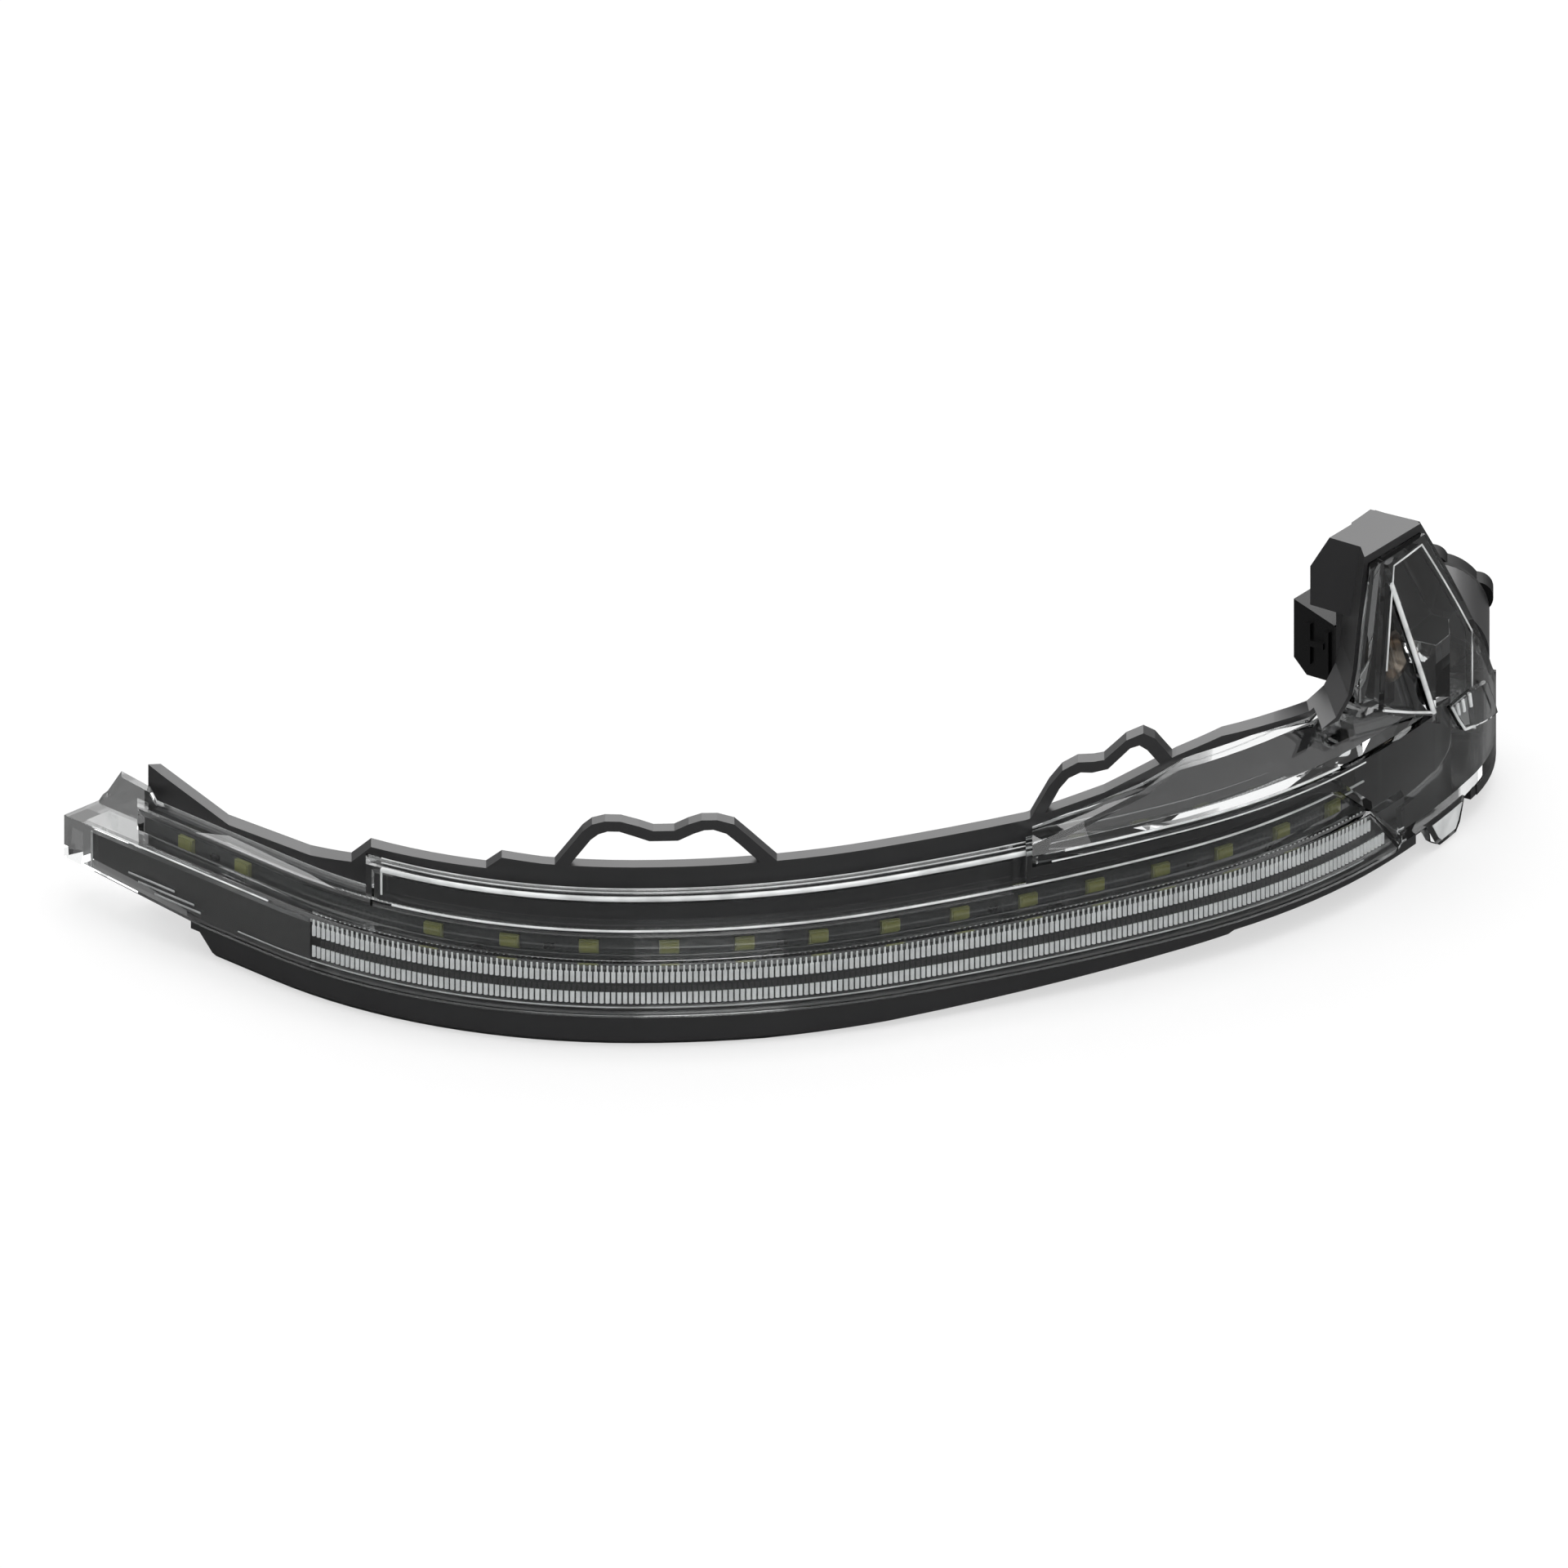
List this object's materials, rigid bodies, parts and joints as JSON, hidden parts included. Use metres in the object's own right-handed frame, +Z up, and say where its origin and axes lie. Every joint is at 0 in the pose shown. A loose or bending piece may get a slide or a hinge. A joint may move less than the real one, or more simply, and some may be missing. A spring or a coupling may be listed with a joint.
{
  "type": "mirror turn signal lamp",
  "caption": "Curved turn signal lamp for an outside mirror: black rear housing, clear stepped lens with a light guide, an upright leg with plug and bulb holder.",
  "frame": {"origin": "on the flat underside of the skirt, at the foremost point of the plan curve, midway across the flat", "axes": "+X along the lamp towards its upright leg, +Y from the lens to the back, +Z up"},
  "size_m": [0.2195, 0.1108, 0.0563],
  "materials": {
    "moulded_black": "satin moulded black plastic",
    "clear_acrylic": "clear polished acrylic",
    "guide_acrylic": "clear acrylic with moulded ribs",
    "solder_mask": "dark solder mask",
    "chip_white": "white moulded chip body",
    "phosphor": "yellow silicone",
    "resistor_black": "glazed black",
    "zinc_steel": "zinc plated",
    "metallised": "metallised plastic",
    "chip_epoxy": "moulded epoxy",
    "seal_rubber": "matt rubber",
    "connector_black": "fine grained black plastic",
    "pin_brass": "tinned brass",
    "bush_brass": "turned brass",
    "vent_film": "porous film",
    "bulb_glass": "clear glass",
    "jumper_film": "amber film"
  },
  "bodies": {
    "root": {"rear_housing": "moulded_black", "board_carrier": "moulded_black", "end_bezel": "moulded_black", "outer_lens": "clear_acrylic", "prism_bar": "guide_acrylic", "strip_board": "solder_mask", "leg_board": "solder_mask", "strip_leds": "chip_white", "leg_led": "chip_white", "strip_led_caps": "phosphor", "leg_led_cap": "phosphor", "board_resistors": "resistor_black", "board_screws": "zinc_steel", "leg_reflector": "metallised", "driver_chip": "chip_epoxy", "connector_seal": "seal_rubber", "holder_seal": "seal_rubber", "connector_shell": "connector_black", "lamp_holder": "connector_black", "connector_pins": "pin_brass", "lug_bush": "bush_brass", "vent_membrane": "vent_film", "bulb": "bulb_glass", "flex_jumper": "jumper_film"}
  },
  "joints": []
}
